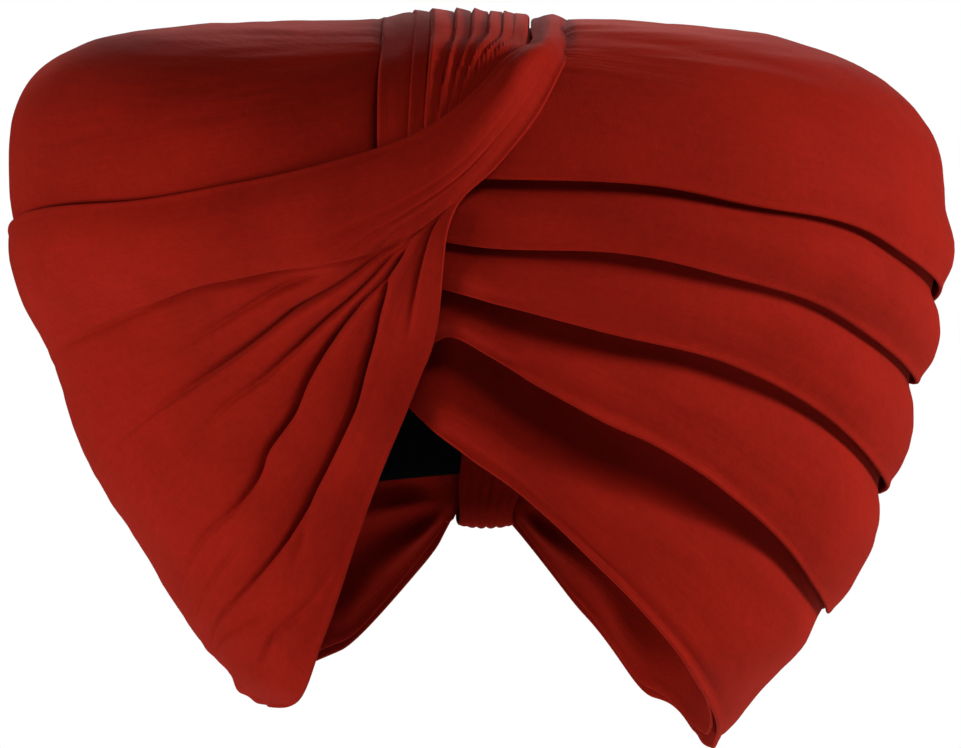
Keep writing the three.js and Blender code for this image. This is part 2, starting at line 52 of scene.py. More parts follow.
# Outer form
turban_height = 232
crown_height = 226.5
shoulder_height = 168
shoulder_lift = 8
half_width = 146
front_depth = 136
back_depth = 134
crown_power = 3.5
plan_power = 2.25

# Head
head_half_width = 77.5
head_half_length = 97.5
head_seat_height = 165
head_shoulder_height = 90
head_power = 2.3

# Wraps
raised_share = 0.45
tuck_share = 0.35
top_wrap_raise = 12
top_wrap_ramp = 28
crown_seam = -12
crown_seam_spread = 0.8
under_wrap_inset = 3
under_wrap_lap = 12.5
under_wrap_ends = (-10, 349)
under_wrap_clearance = 2
nape_azimuth = 175
right_wrap_end = -10.5

# Nape knot
knot_centre = 1.2
knot_bottom_half_width = 9.5
knot_inner_half_width = 15
knot_outer_half_width = 17
knot_inner_top = 84
knot_outer_top = 90
knot_bottom = 58.3
knot_middle = 69
knot_stands = [(58, 9.5), (70, 13), (95, 14.5), (110, 13)]  # height and distance from the outer form
knot_lean = 4  # of its inner end, towards the wearer's left
rim_beside_knot = 1  # of the under wrap, above the bottom of the knot

form_sections = [
    {"height": -0.086, "left": 0.398, "right": 0.34, "front": 0.62, "back": 0.6},
    {"height": 0, "left": 0.495, "right": 0.411, "front": 0.676, "back": 0.672},
    {"height": 0.086, "left": 0.598, "right": 0.514, "front": 0.72, "back": 0.724},
    {"height": 0.172, "left": 0.728, "right": 0.623, "front": 0.765, "back": 0.769},
    {"height": 0.259, "left": 0.8, "right": 0.709, "front": 0.776, "back": 0.787},
    {"height": 0.345, "left": 0.858, "right": 0.795, "front": 0.787, "back": 0.828},
    {"height": 0.431, "left": 0.896, "right": 0.866, "front": 0.805, "back": 0.873},
    {"height": 0.56, "left": 0.947, "right": 0.93, "front": 0.86, "back": 0.948},
    {"height": 0.724, "left": 0.988, "right": 1, "front": 1, "back": 1},
    {"height": 0.78, "left": 0.988, "right": 1, "front": 1, "back": 1},
]
head_sections = [
    {"height": 0, "left": 1, "right": 1, "front": 1, "back": 1},
    {"height": 1, "left": 1, "right": 1, "front": 1, "back": 1},
]

left_stations = [-15, 0, 20, 40, 60, 80, 110, 140, 160, 175]
left_wraps = [
    {"start": -15, "edge": [0.513, 0.422, 0.267, 0.112, 0.034, 0.001, -0.009, 0.006, 0.112, 0.26]},
    {"start": -15, "edge": [0.582, 0.565, 0.47, 0.375, 0.267, 0.19, 0.147, 0.164, 0.224, 0.3]},
    {"start": -15, "edge": [0.659, 0.636, 0.599, 0.53, 0.444, 0.362, 0.284, 0.276, 0.31, 0.345]},
    {"start": -7.4, "edge": [0.724, 0.711, 0.694, 0.642, 0.56, 0.474, 0.401, 0.379, 0.392, 0.4]},
    {"start": -7.4, "edge": [0.795, 0.789, 0.776, 0.733, 0.655, 0.59, 0.534, 0.491, 0.47, 0.457]},
]
# How far the pulled cloth lifts or drops each of those edges, as (azimuth, mm)
edge_pulls = [
    [
        (-15, 0), (-2, 0.1), (6, 2.2), (13, 3), (21, 2.6), (30, 2), (50, 1), (75, 0), (115, 0.5), (138, 3.5),
        (155, 3.5), (175, 0),
    ],
    [
        (-15, 1), (-8, 2), (-4, 7), (1, 4.4), (8, 1.2), (16, 1.7), (23, 1.9), (31, 0.1), (40, -2.8), (50, -4.6),
        (61, -6.5), (72, -4), (82, 0), (92, 4), (105, 5.5), (125, 2), (150, 0), (175, 0),
    ],
    [
        (-15, 1.5), (-4, 3.8), (1, 4), (11, 2.8), (21, 1.4), (43, 0.3), (55, -0.7), (68, -1.6), (80, 0.5), (90, 4),
        (100, 8), (112, 8), (130, 4), (150, 0), (175, 0),
    ],
    [
        (-8, 0.3), (19, 0.2), (38, 1.6), (61, 2.4), (77, 6.5), (88, 11), (100, 15), (112, 13), (130, 6), (150, 0),
        (175, 0),
    ],
    [(-8, 0.1), (17, 0.8), (29, 0.9), (41, 2.9), (52, 5), (62, 5.5), (80, 8), (92, 8.5), (115, 4), (145, 0), (175, 0)],
]
# How far each wrap's edge flares off the form, and its upper part sinks under the next, as (azimuth, mm)
edge_flares = [
    [(-15, 1), (175, 1)],
    [
        (-15, 0.3), (-7, 0.5), (-3, 1.5), (1, 4), (6, 6.5), (14, 7), (25, 4.5), (40, 1.8), (55, 0), (75, -1.4),
        (175, -1.4),
    ],
    [(-15, 0.3), (-6, 0.6), (-2, 2.5), (3, 4.5), (13, 4), (30, 1.6), (45, 0), (65, -1.4), (175, -1.4)],
    [(-8, 0.6), (0, 1.6), (20, 0.6), (40, -0.8), (60, -1.4), (175, -1.4)],
    [(-8, 0.6), (0, 1), (20, 0.4), (40, -0.8), (60, -1.4), (175, -1.4)],
]
upper_sinks = [
    [(-15, 11), (0, 14), (15, 13), (30, 9), (50, 4), (80, 2.4), (175, 2.4)],
    [(-15, 7), (-2, 9), (12, 8), (30, 4), (60, 2.4), (175, 2.4)],
    [(-15, 3), (20, 3.2), (60, 2.4), (175, 2.4)],
    [(-8, 3), (60, 2.4), (175, 2.4)],
]
hem_height = 0.45  # the ridge of the folded edge
hem_width = 1.3
right_wrap_edge = [(-175, 0.435), (-135, 0.548), (-90, 0.648), (-47, 0.703), (-22, 0.75), (-15, 0.77)]
cap_edge = [(0, 0.56), (35, 0.47), (90, 0.24), (130, 0.3), (180, 0.332)]

# The strap's near and far edges, as shares of the half width and of the front depth (top) or the height (front and
# back), and how many levels of cloth it stands on
strap_sections = [
    {"side": "back", "near": (0.055, 0.3), "far": (0.11, 0.3), "stand": 2.25},
    {"side": "back", "near": (0.085, 0.5), "far": (0.16, 0.5), "stand": 2.25},
    {"side": "back", "near": (0.11, 0.8), "far": (0.19, 0.8), "stand": 1.35},
    {"side": "top", "near": (0.115, 0), "far": (0.19, 0), "stand": 0.35},
    {"side": "top", "near": (0.107, -0.58), "far": (0.18, -0.6), "stand": 0.25},
    {"side": "front", "near": (0.1, 0.935), "far": (0.167, 0.922), "stand": 1.8},
    {"side": "front", "near": (0.04, 0.897), "far": (0.114, 0.862), "stand": 2.4},
    {"side": "front", "near": (-0.02, 0.866), "far": (0.034, 0.804), "stand": 2.2},
    {"side": "front", "near": (-0.103, 0.836), "far": (-0.048, 0.754), "stand": 2.2},
]
strap_gathered = 0.78  # share of the strap's width that the first fold of the fan comes from

gather_point = (-0.082, 0.741)  # shares of the half width and the height
# How far from the gather the near, mid and far stations of the fan lie, as shares of the half width
fan_reach = {"near": 0.19, "mid": 0.38, "far": 0.63}
# Folds of the fan: share across, its angle below level at each reach in degrees, then (azimuth, height share) round the
# side of the form
fan_columns = ("across", "near", "mid", "far", "side", "rear", "end")
fan_rows = [
    (0, -35, -9.5, -1.5, (-90, 0.685), (-135, 0.586), (-175, 0.474)),
    (0.3, 24, 18, 17.5, (-90, 0.53), (-135, 0.422), (-175, 0.345)),
    (0.42, 32, 30, 29.5, (-90, 0.418), (-135, 0.336), (-175, 0.284)),
    (0.52, 41, 38, 36, (-85, 0.345), (-130, 0.25), (-172, 0.225)),
    (0.62, 48, 46.5, 43, (-76, 0.3), (-112, 0.19), (-149, 0.08)),
    (0.72, 56, 55, 55, (-60, 0.224), (-88, 0.14), (-118, 0.06)),
    (0.85, 62, 65.5, 65, (-44, 0.224), (-60, 0.14), (-78, 0.085)),
    (1, 88, 80.5, 76, (-26, 0.2), (-36.6, 0.097), (-51, 0.076)),
]
fan_folds = [dict(zip(fan_columns, row)) for row in fan_rows]

# The pleated band's edges, given as the strap's are
pleat_sections = [
    {"side": "front", "left": (-0.19, 0.785), "right": (0.05, 0.853), "stand": 2.2},
    {"side": "front", "left": (-0.194, 0.88), "right": (0.08, 0.915), "stand": 1.8},
    {"side": "top", "left": (-0.194, -0.72), "right": (0.088, -0.72), "stand": 1.2},
    {"side": "top", "left": (-0.21, 0), "right": (0.098, 0), "stand": 1},
    {"side": "back", "left": (-0.226, 0.84), "right": (0.1, 0.84), "stand": 1.2},
    {"side": "back", "left": (-0.18, 0.6), "right": (0.11, 0.6), "stand": 2},
    {"side": "back", "left": (-0.137, 0.43), "right": (0.09, 0.43), "stand": 2.2},
    {"side": "back", "left": (-0.1, 0.29), "right": (0.07, 0.29), "stand": 2.2},
]


def smoothstep(low, high, value):
    t = np.clip((value - low) / (high - low), 0, 1)
    return t * t * (3 - 2 * t)


def bump(value, centre, width):
    return np.exp(-(((value - centre) / width) ** 2))


def by_azimuth(rows, scale=1):
    """A curve through rows of (azimuth, value)."""
    azimuths, values = zip(*rows)
    return curve_through(azimuths, np.multiply(values, scale))


def curve_through(xs, ys):
    """A curve through points that never overshoots them."""
    xs, ys = np.asarray(xs, float), np.asarray(ys, float)
    slopes = np.diff(ys) / np.diff(xs)
    before, after = slopes[:-1], slopes[1:]
    total = np.where(before + after == 0, 1, before + after)
    inner = np.where(before * after <= 0, 0, 2 * before * after / total)
    tangents = np.concatenate([slopes[:1], inner, slopes[-1:]])

    def at(x):
        x = np.asarray(x, float)
        i = np.clip(np.searchsorted(xs, x, side="right") - 1, 0, len(xs) - 2)
        width = xs[i + 1] - xs[i]
        t = np.clip((x - xs[i]) / width, 0, 1)
        return (
            ys[i] * (2 * t**3 - 3 * t**2 + 1)
            + tangents[i] * width * (t**3 - 2 * t**2 + t)
            + ys[i + 1] * (3 * t**2 - 2 * t**3)
            + tangents[i + 1] * width * (t**3 - t**2)
        )

    return at


def ripple(x, y, seed):
    """Smooth noise from -1 to 1 with features about 1 across."""
    cells = 64
    lattice = np.random.default_rng(seed).uniform(-1, 1, (cells, cells))
    x, y = np.asarray(x, float) + 1000, np.asarray(y, float) + 1000  # no negative cell numbers
    i, j = np.floor(x).astype(int), np.floor(y).astype(int)
    fx, fy = x - i, y - j
    fx, fy = fx * fx * (3 - 2 * fx), fy * fy * (3 - 2 * fy)
    i, j, next_i, next_j = i % cells, j % cells, (i + 1) % cells, (j + 1) % cells
    a, b = lattice[i, j], lattice[next_i, j]
    c, d = lattice[i, next_j], lattice[next_i, next_j]
    return (a * (1 - fx) + b * fx) * (1 - fy) + (c * (1 - fx) + d * fx) * fy


def unit(v):
    return v / np.maximum(np.linalg.norm(v, axis=-1, keepdims=True), 1e-12)


leave_halvings = 34
normal_step = 2


class Form:
    """A closed form given by sections; points are arrays whose last axis is x, y, z."""

    def __init__(self, sections, section_scale, sizes, top, shoulder, power, lift):
        self.top, self.shoulder, self.power, self.lift = top, shoulder, power, lift
        heights = [row["height"] * section_scale for row in sections]
        self.table = np.linspace(heights[0], heights[-1], 600)
        self.half = {
            name: curve_through(heights, [row[name] * size for row in sections])(self.table)
            for name, size in sizes.items()
        }
        self.middle = np.array([0, 0, shoulder * 0.65])

    def inside(self, p):
        x, y, z = p[..., 0], p[..., 1], p[..., 2]
        height = z + self.lift * (x / half_width) ** 3 * smoothstep(self.shoulder / 2, self.shoulder, z)
        turn = np.clip((height - self.shoulder) / (self.top - self.shoulder), 0, 1)
        scale = np.maximum(1 - turn**self.power, 1e-12) ** (1 / self.power)
        low = np.minimum(height, self.shoulder)
        half = {name: np.interp(low, self.table, column) for name, column in self.half.items()}
        wide = np.where(x > 0, half["left"], half["right"]) * scale
        deep = np.where(y < 0, half["front"], half["back"]) * scale
        return (height < self.top) & (np.abs(x / wide) ** plan_power + np.abs(y / deep) ** plan_power < 1)

    def leave(self, origin, direction):
        """Where rays from inside the form leave it."""
        shape = np.broadcast_shapes(np.shape(origin), np.shape(direction))
        origin, direction = np.broadcast_to(origin, shape), np.broadcast_to(direction, shape)
        near = np.zeros(shape[:-1])
        far = np.full(shape[:-1], 2.0 * (half_width + turban_height))
        for _ in range(leave_halvings):
            middle = (near + far) / 2
            within = self.inside(origin + direction * middle[..., None])
            near, far = np.where(within, middle, near), np.where(within, far, middle)
        return origin + direction * near[..., None]

    def snap(self, p):
        return self.leave(self.middle, unit(p - self.middle))

    def normal(self, p):
        out = unit(p - self.middle)
        side = np.where(np.abs(out[..., 2:]) > 0.9, [1.0, 0, 0], [0, 0, 1.0])
        first = unit(np.cross(side, out))
        second = np.cross(out, first)
        a, b = [self.snap(p + normal_step * way) - self.snap(p - normal_step * way) for way in (first, second)]
        return unit(np.cross(a, b))

    def wall(self, azimuth, height):
        azimuth, height = np.broadcast_arrays(np.radians(azimuth), height)
        zero = np.zeros_like(azimuth)
        direction = np.stack([np.sin(azimuth), -np.cos(azimuth), zero], -1)
        return self.leave(np.stack([zero, zero, height], -1), direction)

    def face(self, x, height, way):
        x, height = np.broadcast_arrays(np.asarray(x, float), height)
        return self.leave(np.stack([x, np.zeros_like(x), height], -1), np.array([0, way, 0.0]))

    def crown(self, x, y):
        x, y = np.broadcast_arrays(np.asarray(x, float), y)
        return self.leave(np.stack([x, y, np.full_like(x, self.shoulder)], -1), np.array([0, 0, 1.0]))


outer = Form(
    form_sections,
    turban_height,
    {"left": half_width, "right": half_width, "front": front_depth, "back": back_depth},
    crown_height,
    shoulder_height,
    crown_power,
    shoulder_lift,
)
head = Form(
    head_sections,
    head_seat_height,
    {"left": head_half_width, "right": head_half_width, "front": head_half_length, "back": head_half_length},
    head_seat_height,
    head_shoulder_height,
    head_power,
    0,
)


def to_frame(p):
    return (p - [0, 0, head_seat_height]) / 1000


def lengths(grid, axis):
    """Distances along one axis of a grid of points, averaged over the other, from 0."""
    steps = np.linalg.norm(np.diff(grid, axis=axis), axis=-1).mean(axis=1 - axis)
    return np.concatenate([[0], np.cumsum(steps)])


def cloth(name, out, under, material, nodes, rim_steps=4):
    """A closed wall of cloth between two grids of points, with its edges rolled over, as a piece."""
    rows, columns = out.shape[:2]
    index = np.arange(rows * columns).reshape(rows, columns)
    points = [out.reshape(-1, 3), under.reshape(-1, 3)]
    low = index + rows * columns
    faces = [
        np.stack([index[:-1, :-1], index[1:, :-1], index[1:, 1:], index[:-1, 1:]], -1).reshape(-1, 4),
        np.stack([low[:-1, :-1], low[:-1, 1:], low[1:, 1:], low[1:, :-1]], -1).reshape(-1, 4),
    ]
    border = np.concatenate([index[:, 0], index[-1, 1:], index[-2::-1, -1], index[0, -2:0:-1]])
    i, j = np.divmod(border, columns)
    inward = np.stack([np.clip(i, 1, rows - 2), np.clip(j, 1, columns - 2)], 1)
    edge, below = out.reshape(-1, 3)[border], under.reshape(-1, 3)[border]
    across = (edge - below) / 2
    away = edge - out[inward[:, 0], inward[:, 1]]
    away = unit(away - unit(across) * (away * unit(across)).sum(-1, keepdims=True))
    radius = np.linalg.norm(across, axis=-1, keepdims=True)
    rings = [border]
    for k in range(1, rim_steps):
        angle = math.pi * k / rim_steps
        ring = (edge + below) / 2 + across * math.cos(angle) + away * radius * math.sin(angle)
        rings.append(np.arange(len(border)) + sum(len(q) for q in points))
        points.append(ring)
    rings.append(border + rows * columns)
    for a, b in zip(rings, rings[1:]):
        faces.append(np.stack([a, b, np.roll(b, -1), np.roll(a, -1)], -1))
    points, faces = to_frame(np.concatenate(points)), np.concatenate(faces)
    corners = points[faces]
    volume = np.einsum("ij,ij->i", corners[:, 0], np.cross(corners[:, 1], corners[:, 2]))
    volume += np.einsum("ij,ij->i", corners[:, 0], np.cross(corners[:, 2], corners[:, 3]))
    if volume.sum() < 0:
        faces = faces[:, ::-1]
    mesh = bpy.data.meshes.new(name)
    mesh.from_pydata(points.tolist(), [], faces.tolist())
    mesh.shade_smooth()
    u, v = np.meshgrid(lengths(out, 0) / 1000, lengths(out, 1) / 1000, indexing="ij")
    flat = np.tile(np.stack([u, v], -1).reshape(-1, 2), (2, 1))
    flat = np.concatenate([flat] + [flat[border]] * (rim_steps - 1))
    loops = np.empty(len(mesh.loops), int)
    mesh.loops.foreach_get("vertex_index", loops)
    mesh.uv_layers.new(name="cloth").data.foreach_set("uv", flat[loops].ravel())
    mesh.materials.append(material)
    piece = bpy.data.objects.new(name, mesh)
    bpy.context.collection.objects.link(piece)
    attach(piece, "root")
    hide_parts(*nodes)
    middle = (out + under) / 2
    a, b = middle[1:, 1:] - middle[:-1, :-1], middle[1:, :-1] - middle[:-1, 1:]
    area = np.linalg.norm(np.cross(a, b), axis=-1).sum() / 2e6
    longest = np.linalg.norm(np.diff(middle, axis=0), axis=-1).sum(0).max() / 1000
    wide = np.linalg.norm(np.diff(middle, axis=1), axis=-1).sum(1).mean() / 1000
    flat = (round(wide, 3), round(longest, 3))
    area = min(area, 0.995 * flat[0] * flat[1])
    return piece


def off_form(points, normals, inner, thickness):
    """The outer and the inner face of cloth whose inner face stands inner off the form."""
    return points + normals * (inner + thickness)[..., None], points + normals * inner[..., None]


def pressed(distance):
    """Thickness of the cloth at a distance from its folded edge."""
    return edge_thickness + (cloth_thickness - edge_thickness) * smoothstep(0, pressed_width, distance)


# Materials


def cotton(name, dark, mid, light, weave=0.00005):
    """Matte cotton voile: cloudy colour, slubs along the threads, a fine weave and small crinkles."""
    material = bpy.data.materials.new(name)
    material.use_nodes = True
    nodes, links = material.node_tree.nodes, material.node_tree.links
    shader = nodes["Principled BSDF"]
    place = nodes.new("ShaderNodeTexCoord")
    threads = nodes.new("ShaderNodeUVMap")
    threads.uv_map = "cloth"

    def noise(vector, scale, detail=3.0, stretch=None):
        if stretch:
            mapping = nodes.new("ShaderNodeMapping")
            mapping.inputs["Scale"].default_value = stretch
            links.new(vector, mapping.inputs["Vector"])
            vector = mapping.outputs["Vector"]
        texture = nodes.new("ShaderNodeTexNoise")
        texture.inputs["Scale"].default_value = scale
        texture.inputs["Detail"].default_value = detail
        links.new(vector, texture.inputs["Vector"])
        return texture.outputs["Fac"]

    def combine(first, second, share):
        mix = nodes.new("ShaderNodeMix")
        mix.inputs["Factor"].default_value = share
        links.new(first, mix.inputs["A"])
        links.new(second, mix.inputs["B"])
        return mix.outputs["Result"]

    cloud = noise(place.outputs["Object"], 26, 4)
    slub = noise(threads.outputs["UV"], 1, 2, (90, 1600, 1))
    mottle = noise(place.outputs["Object"], 420, 2)
    tone = combine(combine(cloud, slub, 0.3), mottle, 0.25)
    ramp = nodes.new("ShaderNodeValToRGB")
    ramp.color_ramp.elements[0].position = 0.3
    ramp.color_ramp.elements[0].color = (*dark, 1)
    ramp.color_ramp.elements[1].position = 0.7
    ramp.color_ramp.elements[1].color = (*light, 1)
    ramp.color_ramp.elements.new(0.5).color = (*mid, 1)
    links.new(tone, ramp.inputs["Fac"])
    links.new(ramp.outputs["Color"], shader.inputs["Base Color"])

    previous = None
    waves = []
    for direction in ("X", "Y"):
        wave = nodes.new("ShaderNodeTexWave")
        wave.bands_direction = direction
        wave.inputs["Scale"].default_value = 700
        wave.inputs["Distortion"].default_value = 0.6
        links.new(threads.outputs["UV"], wave.inputs["Vector"])
        waves.append(wave.outputs["Fac"])
    reliefs = [
        (noise(place.outputs["Object"], 150, 3), 0.0005, 0.35),
        (noise(threads.outputs["UV"], 1, 3, (60, 420, 1)), 0.0005, 0.3),
        (noise(place.outputs["Object"], 900, 2), 0.0002, 0.4),
        (combine(*waves, 0.5), weave, 0.6),
    ]
    for height, distance, strength in reliefs:
        relief = nodes.new("ShaderNodeBump")
        relief.inputs["Distance"].default_value = distance
        relief.inputs["Strength"].default_value = strength
        links.new(height, relief.inputs["Height"])
        if previous:
            links.new(previous, relief.inputs["Normal"])
        previous = relief.outputs["Normal"]
    links.new(previous, shader.inputs["Normal"])
    shader.inputs["Roughness"].default_value = 0.85
    shader.inputs["Specular IOR Level"].default_value = 0.04
    shader.inputs["Sheen Weight"].default_value = 0.16
    shader.inputs["Sheen Roughness"].default_value = 0.4
    shader.inputs["Sheen Tint"].default_value = (1, 0.09, 0.05, 1)
    return material


red = cotton("red_cotton", (0.15, 0.0042, 0.0014), (0.19, 0.0054, 0.0018), (0.225, 0.0068, 0.0024))
# Near-black cloth for the inner cap: painted shade that stands in for the shadow inside the crown, not a dyed lining
painted_shade = cotton("painted_shade_black", (0.001, 0.001, 0.001), (0.0016, 0.0016, 0.0016), (0.0024, 0.0024, 0.0024))
painted_shade.node_tree.nodes["Principled BSDF"].inputs["Sheen Weight"].default_value = 0
painted_shade.node_tree.nodes["Principled BSDF"].inputs["Specular IOR Level"].default_value = 0.05

# Edges of the wraps


def pulled_edge(shares, pulls):
    edge, pull = curve_through(left_stations, np.multiply(shares, turban_height)), by_azimuth(pulls)
    return lambda azimuth: edge(azimuth) + pull(azimuth)


left_edges = [pulled_edge(row["edge"], pulls) for row, pulls in zip(left_wraps, edge_pulls)]
right_edge = by_azimuth(right_wrap_edge, turban_height)
cap_lower_edge = by_azimuth(cap_edge, turban_height)
rim_ends = [fold["end"] for fold in fan_folds if fold["across"] > 0.5]
right_rim = curve_through(
    [-175] + [azimuth for azimuth, _ in rim_ends],
    np.multiply([fan_folds[2]["end"][1]] + [share for _, share in rim_ends], turban_height),
)

# Wraps on the wearer's left
wrap_columns, wrap_rows, tuck_rows = 240, 30, 4
edge_crowding = 1.3  # rows lie closer together at the folded edge
left_arc = 2.3  # mm along the form for a degree
edge_wobble = 0.9
end_sink = 8  # of the first wraps' ends, beneath the drape
hem_groove = {"above": 3.4, "width": 0.6, "depth": 0.5}


def left_wrap(k):
    """A wrap of a table row: share 0 is its folded edge and 1 the edge of the next wrap, beneath which it tucks."""
    row = left_wraps[k]
    azimuths = np.linspace(row["start"], nape_azimuth, wrap_columns)
    shares = np.concatenate([np.linspace(0, 1, wrap_rows) ** edge_crowding, 1 + np.linspace(0.2, 1, tuck_rows)])
    azimuth, share = np.meshgrid(azimuths, shares, indexing="ij")
    edge, above = left_edges[k](azimuth), left_edges[k + 1](azimuth)
    width = above - edge
    width_above = left_edges[k + 2](azimuth) - above if k + 2 < len(left_edges) else np.full_like(above, top_wrap_ramp)
    reach = tuck_share * np.minimum(width_above, top_wrap_ramp)
    along = azimuth * left_arc
    rise = np.minimum(share, 1) * width
    wobble = edge_wobble * ripple(along / 38, 0, 10 + k) * np.clip(1 - share, 0, 1)
    height = edge + rise + wobble + np.maximum(share - 1, 0) * reach
    stand = (0 if k == 0 else level) * (1 - smoothstep(raised_share, 1, share))
    flare, sink = [by_azimuth(table[k])(azimuth) for table in (edge_flares, upper_sinks)]
    reach_up = np.where(flare > 0, 8 + flare, 5)
    puff = (flare + 0.5 * ripple(along / 30, 0, 20 + k)) * np.exp(-rise / reach_up)
    puff = puff + hem_height * bump(rise, 0, hem_width)
    low_share = 0.25 + 0.5 * smoothstep(10, 55, azimuth)
    swell = 0.7 * np.sin(np.pi * np.clip(share, 0, 1)) ** 1.5 - sink * smoothstep(low_share, 0.99, share)
    if k < 3:
        swell = swell - end_sink * (1 - smoothstep(-14, -5.5, azimuth))
    folds = 0.5 * ripple(along / 46, rise / 12, 30 + k) + 0.14 * ripple(along / 17, rise / 3.2, 40 + k)
    if k == 0:
        groove = bump(rise, hem_groove["above"], hem_groove["width"])
        folds = folds - hem_groove["depth"] * groove * smoothstep(-8, 0, azimuth)
    base = outer.wall(azimuth, height)
    inner = stand + puff + swell + folds * smoothstep(0, 4, rise)
    out, under = off_form(base, outer.normal(base), inner, pressed(rise))
    return cloth(
        f"left_wrap_{k + 1}_cloth", out, under, red, [f"left_wrap_{k + 1}"],
    )


for k in range(4):
    left_wrap(k)


# The two wraps that run on over the crown, one on each side
top_arc = 2.4  # mm along the form for a degree
over_rows = 70
under_pleats_sink = 3


def top_wrap(name, azimuths, edge, raised, side, seed):
    """A wrap from its folded edge over the shoulder to the seam beneath the pleats; side is 1 for the wearer's left."""
    near_edge = np.linspace(0, 1, 8) ** edge_crowding * top_wrap_raise
    rises = np.concatenate([near_edge, np.linspace(top_wrap_raise, top_wrap_ramp, 7)[1:]])
    overs = np.linspace(0, 1, over_rows)[1:]
    azimuth, _ = np.meshgrid(azimuths, np.concatenate([rises, overs]), indexing="ij")
    azimuth = azimuth[:, :1]
    along = azimuth * top_arc
    wobble = edge_wobble * ripple(along / 42, 0, seed) * np.clip(1 - rises / top_wrap_raise, 0, 1)
    lower = outer.wall(azimuth, edge(azimuth) + rises + wobble)
    low = lower[:, -1:, :]
    seam = outer.crown(crown_seam + side * cloth_gap, low[..., 1] * crown_seam_spread)
    upper = outer.snap(low + (seam - low) * overs[None, :, None])
    base = np.concatenate([lower, upper], 1)
    to_seam = np.linalg.norm(seam - low, axis=-1)
    distance = np.broadcast_to(rises, (len(azimuths), len(rises)))
    distance = np.concatenate([distance, top_wrap_ramp + overs * to_seam], 1)
    stand = raised * (1 - smoothstep(top_wrap_raise, top_wrap_ramp, distance))
    flare = by_azimuth(edge_flares[-1])(np.abs(azimuth)) if side > 0 else 0.4
    puff = (flare + 0.5 * ripple(along / 34, 0, seed + 1)) * np.exp(-distance / 6)
    puff = puff + hem_height * bump(distance, 0, hem_width)
    folds = (
        0.75 * ripple(along / 44, distance / 26, seed + 2)
        + 0.35 * ripple(along / 21, distance / 9, seed + 3)
        + 0.12 * ripple(along / 16, distance / 3.5, seed + 4)
    )
    x, up = base[..., 0], base[..., 2]
    under_pleats = smoothstep(-32, -26, x) * np.where(x < 0, smoothstep(150, 178, up), smoothstep(212, 226, up))
    folds = folds - under_pleats_sink * under_pleats * (1 - smoothstep(21, 29, x))
    normals = outer.normal(base)
    out, under = off_form(base, normals, stand + puff + folds * smoothstep(0, 6, distance), pressed(distance))
    return cloth(f"{name}_cloth", out, under, red, [name])


top_wrap("left_wrap_5", np.linspace(-7.4, nape_azimuth, 200), left_edges[-1], level, 1, 50)
top_wrap("right_wrap", np.linspace(-nape_azimuth, right_wrap_end, 180), right_edge, 0.0, -1, 60)

# Inner cap, coloured near black as painted shade for the unlit inside of the crown


def inner_cap():
    cells = np.linspace(-1, 1, 61)
    u, v = np.meshgrid(cells, cells, indexing="ij")
    x, y = u * np.sqrt(1 - v * v / 2), v * np.sqrt(1 - u * u / 2)
    radius, azimuth = np.minimum(np.hypot(x, y), 1), np.degrees(np.arctan2(x, -y))
    low = head.wall(azimuth, cap_lower_edge(np.abs(azimuth)))
    pole = np.array([0, 0, head_seat_height], float)
    base = head.snap(pole + (low - pole) * radius[..., None])
    base = np.where((radius < 1)[..., None], base, low)
    out, under = off_form(base, head.normal(base), np.zeros_like(radius), np.full_like(radius, cap_thickness))
    return cloth("inner_cap_cloth", out, under, painted_shade, ["inner_cap"])


inner_cap()

# Gathered cloth: threads that run along it, each through its stations


def spline(stations, places):
    """Centripetal Catmull-Rom curves through stations (station, thread, xyz), at places along them."""
    ends = [2 * stations[:1] - stations[1:2], 2 * stations[-1:] - stations[-2:-1]]
    p = np.concatenate([ends[0], stations, ends[1]])
    i = np.clip(places.astype(int), 0, len(stations) - 2)
    t = (places - i)[:, None, None]
    p0, p1, p2, p3 = p[i], p[i + 1], p[i + 2], p[i + 3]
    d0, d1, d2 = [np.sqrt(np.linalg.norm(b - a, axis=-1, keepdims=True)) for a, b in ((p0, p1), (p1, p2), (p2, p3))]
    d1 = np.where(d1 < 1e-4, 1, d1)
    d0, d2 = np.where(d0 < 1e-4, d1, d0), np.where(d2 < 1e-4, d1, d2)
    first = ((p1 - p0) / d0 - (p2 - p0) / (d0 + d1) + (p2 - p1) / d1) * d1
    second = ((p2 - p1) / d1 - (p3 - p1) / (d1 + d2) + (p3 - p2) / d2) * d1
    a, b = 2 * p1 - 2 * p2 + first + second, -3 * p1 + 3 * p2 - 2 * first - second
    return a * t**3 + b * t**2 + first * t + p1


def between(values, places):
    """Values at the stations of every thread (station, thread), at places along them."""
    stations = np.arange(len(values), dtype=float)
    return np.stack([curve_through(stations, column)(places) for column in np.transpose(values)], 1)


def steps_along(stations, steps):
    """Places along the middle thread, as far apart as steps says for each stretch between stations."""
    middle = stations[:, stations.shape[1] // 2]
    places = [0.0]
    for k in range(1, len(middle)):
        count = max(1, math.ceil(np.linalg.norm(middle[k] - middle[k - 1]) / steps[k - 1]))
        places.extend(np.linspace(k - 1, k, count + 1)[1:])
    return np.array(places)


def on_form(place, side):
    x, other = place[0] * half_width, place[1]
    if side == "top":
        return outer.crown(x, other * front_depth)
    return outer.face(x, other * turban_height, 1.0 if side == "back" else -1.0)


across_fan = [fold["across"] for fold in fan_folds]
fan_angle = {name: curve_through(across_fan, [fold[name] for fold in fan_folds]) for name in fan_reach}
fan_place = {
    name: [curve_through(across_fan, [fold[name][k] for fold in fan_folds]) for k in (0, 1)]
    for name in ("side", "rear", "end")
}
gathered = curve_through([0, fan_folds[1]["across"], 1], [0, strap_gathered, 1])


